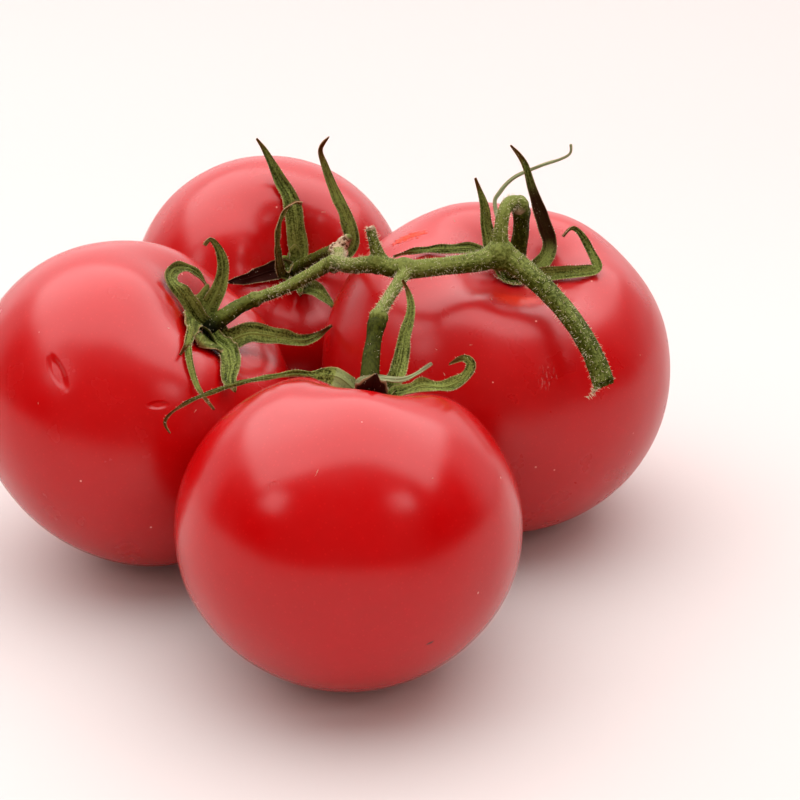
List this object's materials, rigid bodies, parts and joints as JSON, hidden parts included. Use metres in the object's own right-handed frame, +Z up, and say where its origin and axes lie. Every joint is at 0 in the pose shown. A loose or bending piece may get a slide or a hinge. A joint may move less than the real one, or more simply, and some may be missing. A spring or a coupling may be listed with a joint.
{
  "type": "truss of ripe tomatoes",
  "caption": "Ripe round tomatoes still joined to their green truss stem, with curled sepals round each stalk and a short cut end of stem.",
  "frame": {"origin": "middle of the footprint's bounding box, on the surface that the fruits rest on", "axes": "+Z up, +Y from the front fruit to the back fruit, +X towards the side with the cut end of the stem"},
  "size_m": [0.1495, 0.1827, 0.0869],
  "materials": {
    "tomato_skin": "smooth waxy red skin with a soft gloss",
    "calyx_green": "matt dry green leaf, browned at the tips",
    "stem_green": "matt green with fine pale hairs"
  },
  "bodies": {
    "root": {"tomato_front": "tomato_skin", "tomato_right": "tomato_skin", "tomato_left": "tomato_skin", "tomato_back": "tomato_skin", "calyx_front": "calyx_green", "calyx_right": "calyx_green", "calyx_left": "calyx_green", "calyx_back": "calyx_green", "pedicel_front": "stem_green", "pedicel_right": "stem_green", "pedicel_left": "stem_green", "pedicel_back": "stem_green", "truss_stem": "stem_green"}
  },
  "joints": []
}
